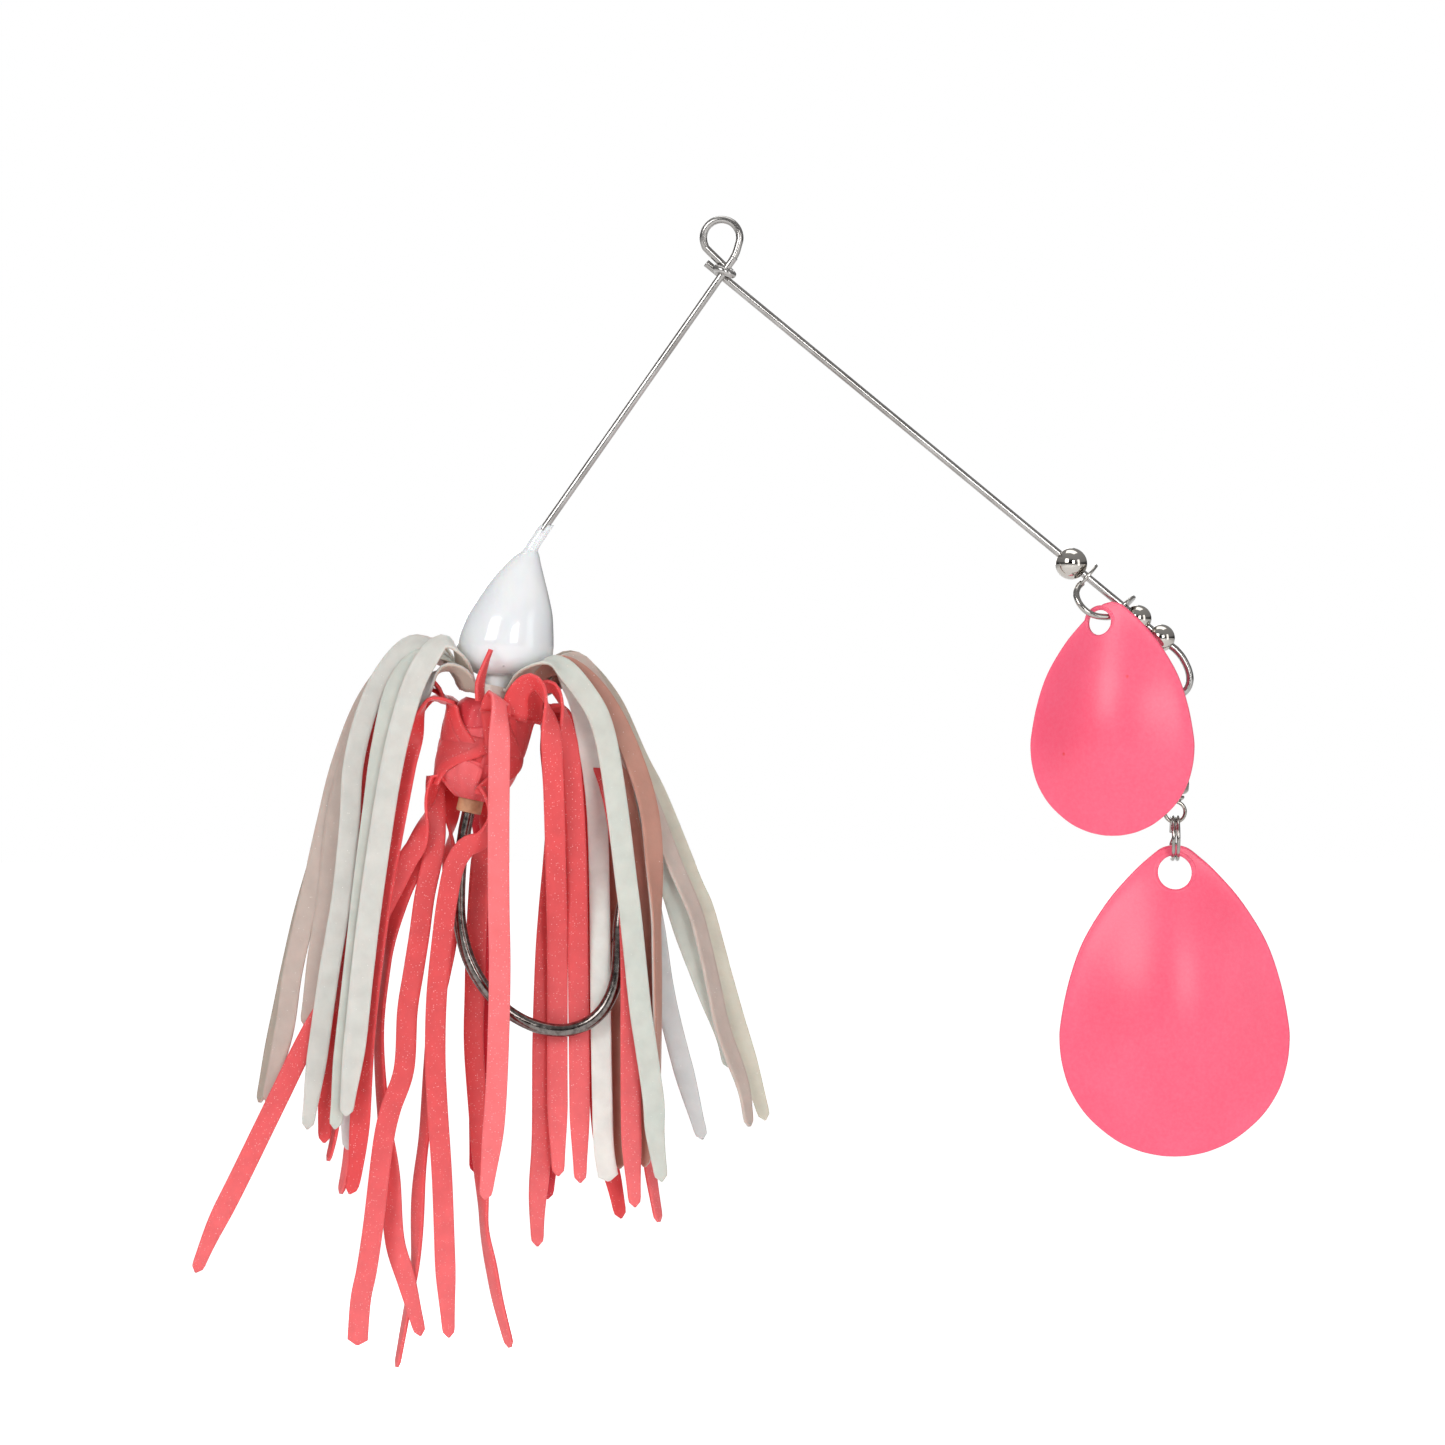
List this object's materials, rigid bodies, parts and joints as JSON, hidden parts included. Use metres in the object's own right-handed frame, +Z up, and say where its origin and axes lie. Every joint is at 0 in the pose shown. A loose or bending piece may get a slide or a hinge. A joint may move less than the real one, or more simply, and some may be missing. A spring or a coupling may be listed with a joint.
{
  "type": "spinnerbait",
  "caption": "Fishing lure on a bent wire: line-tie eye, weighted painted head, hook, silicone strand skirt, and cupped spinner blades on a clevis and a barrel swivel.",
  "frame": {"origin": "centre of the line-tie eye, from which the lure hangs", "axes": "+Z up, +Y through the bent wire's plane, away from the side that the small blade's clevis faces; +X from the skirt towards the blades"},
  "size_m": [0.1296, 0.0144, 0.1361],
  "materials": {
    "spring_wire": "satin",
    "black_nickel": "polished dark",
    "head_paint": "gloss",
    "collar_rubber": "satin",
    "hub_silicone": "satin",
    "core_rubber": "matte",
    "tab_silicone": "satin",
    "white_silicone": "satin",
    "pink_silicone": "satin with fine glitter",
    "bead_nickel": "mirror",
    "clevis_nickel": "polished",
    "small_blade_paint": "gloss",
    "large_blade_paint": "satin gloss",
    "swivel_nickel": "polished",
    "ring_nickel": "polished"
  },
  "bodies": {
    "frame": {"wire_frame": "spring_wire", "head": "head_paint", "hook": "black_nickel", "skirt_collar_white": "collar_rubber", "skirt_hub_pink": "hub_silicone", "skirt_core_tube": "core_rubber", "skirt_tab_pink": "tab_silicone", "strand_white_01": "white_silicone", "strand_white_02": "white_silicone", "strand_white_03": "white_silicone", "strand_white_04": "white_silicone", "strand_white_05": "white_silicone", "strand_white_06": "white_silicone", "strand_white_07": "white_silicone", "strand_white_08": "white_silicone", "strand_white_09": "white_silicone", "strand_white_10": "white_silicone", "strand_white_11": "white_silicone", "strand_white_12": "white_silicone", "strand_white_13": "white_silicone", "strand_white_14": "white_silicone", "strand_white_15": "white_silicone", "strand_white_16": "white_silicone", "strand_pink_01": "pink_silicone", "strand_pink_02": "pink_silicone", "strand_pink_03": "pink_silicone", "strand_pink_04": "pink_silicone", "strand_pink_05": "pink_silicone", "strand_pink_06": "pink_silicone", "strand_pink_07": "pink_silicone", "strand_pink_08": "pink_silicone", "strand_pink_09": "pink_silicone", "strand_pink_10": "pink_silicone", "strand_pink_11": "pink_silicone", "strand_pink_12": "pink_silicone", "strand_pink_13": "pink_silicone", "strand_pink_14": "pink_silicone", "strand_pink_15": "pink_silicone", "strand_pink_16": "pink_silicone", "strand_pink_17": "pink_silicone", "strand_pink_18": "pink_silicone", "strand_pink_19": "pink_silicone"},
    "bead_lower": {"bead_lower": "bead_nickel"},
    "bead_middle": {"bead_middle": "bead_nickel"},
    "bead_top": {"bead_top": "bead_nickel"},
    "clevis": {"clevis": "clevis_nickel"},
    "blade_small": {"blade_small": "small_blade_paint"},
    "swivel_eye_upper": {"swivel_eye_upper": "swivel_nickel"},
    "swivel_barrel": {"swivel_barrel": "swivel_nickel"},
    "swivel_eye_lower": {"swivel_eye_lower": "swivel_nickel"},
    "split_ring": {"split_ring": "ring_nickel"},
    "blade_large": {"blade_large": "large_blade_paint"}
  },
  "joints": [
    {"name": "stack_slide", "type": "slide", "parent": "frame", "child": "bead_lower", "axis": [-0.7718, 0, 0.6359], "range_m": [0, 0.045]},
    {"name": "bead_middle_spin", "type": "hinge", "parent": "bead_lower", "child": "bead_middle", "pos_m": [0.04913, 0, -0.0449], "axis": [0.7718, 0, -0.6359], "continuous": true},
    {"name": "bead_top_spin", "type": "hinge", "parent": "bead_lower", "child": "bead_top", "pos_m": [0.04127, 0, -0.03842], "axis": [0.7718, 0, -0.6359], "continuous": true},
    {"name": "clevis_spin", "type": "hinge", "parent": "bead_lower", "child": "clevis", "pos_m": [0.04528, 0, -0.04173], "axis": [0.7718, 0, -0.6359], "range_deg": [-190, 5]},
    {"name": "blade_small_swing", "type": "hinge", "parent": "clevis", "child": "blade_small", "pos_m": [0.04513, -0.00202, -0.04472], "axis": [-0.3746, -0.9272, 0], "range_deg": [-30, 30]},
    {"name": "swivel_swing", "type": "hinge", "parent": "frame", "child": "swivel_eye_upper", "pos_m": [0.0535, 0, -0.054], "axis": [0, 1, 0], "range_deg": [-35, 5]},
    {"name": "barrel_spin", "type": "hinge", "parent": "swivel_eye_upper", "child": "swivel_barrel", "pos_m": [0.0535, 0, -0.0594], "axis": [0, 0, 1], "continuous": true},
    {"name": "lower_eye_spin", "type": "hinge", "parent": "swivel_barrel", "child": "swivel_eye_lower", "pos_m": [0.0535, 0, -0.0656], "axis": [0, 0, 1], "continuous": true},
    {"name": "ring_swing", "type": "hinge", "parent": "swivel_eye_lower", "child": "split_ring", "pos_m": [0.0535, 0, -0.0689], "axis": [1, 0, 0], "range_deg": [-45, 45]},
    {"name": "blade_large_swing", "type": "hinge", "parent": "split_ring", "child": "blade_large", "pos_m": [0.0535, 0, -0.0733], "axis": [0, 1, 0], "range_deg": [-25, 25]}
  ]
}
